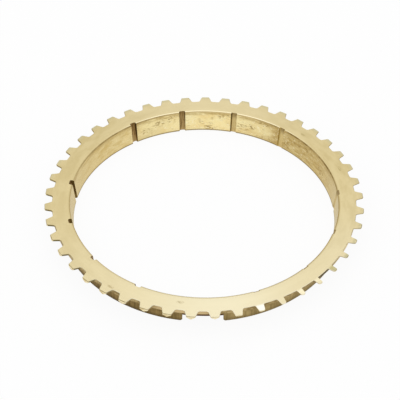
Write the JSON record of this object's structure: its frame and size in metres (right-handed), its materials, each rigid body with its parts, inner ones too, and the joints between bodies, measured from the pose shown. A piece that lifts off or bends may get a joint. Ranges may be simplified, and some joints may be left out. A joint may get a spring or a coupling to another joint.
{
  "type": "synchronizer ring",
  "caption": "Brass gearbox synchronizer ring: conical friction bore with axial oil grooves, a flange of pointed dog teeth, and key slots in the skirt below it.",
  "frame": {"origin": "the ring's axis at the end of the skirt, the face the ring stands on", "axes": "+Z along the ring's axis towards the toothed face, -Y through the middle of one key slot"},
  "size_m": [0.15, 0.1499, 0.0114],
  "materials": {
    "brass": "satin, turned, with a burnished cone and a darker forged skirt"
  },
  "bodies": {
    "root": {"synchronizer_ring": "brass"}
  },
  "joints": []
}
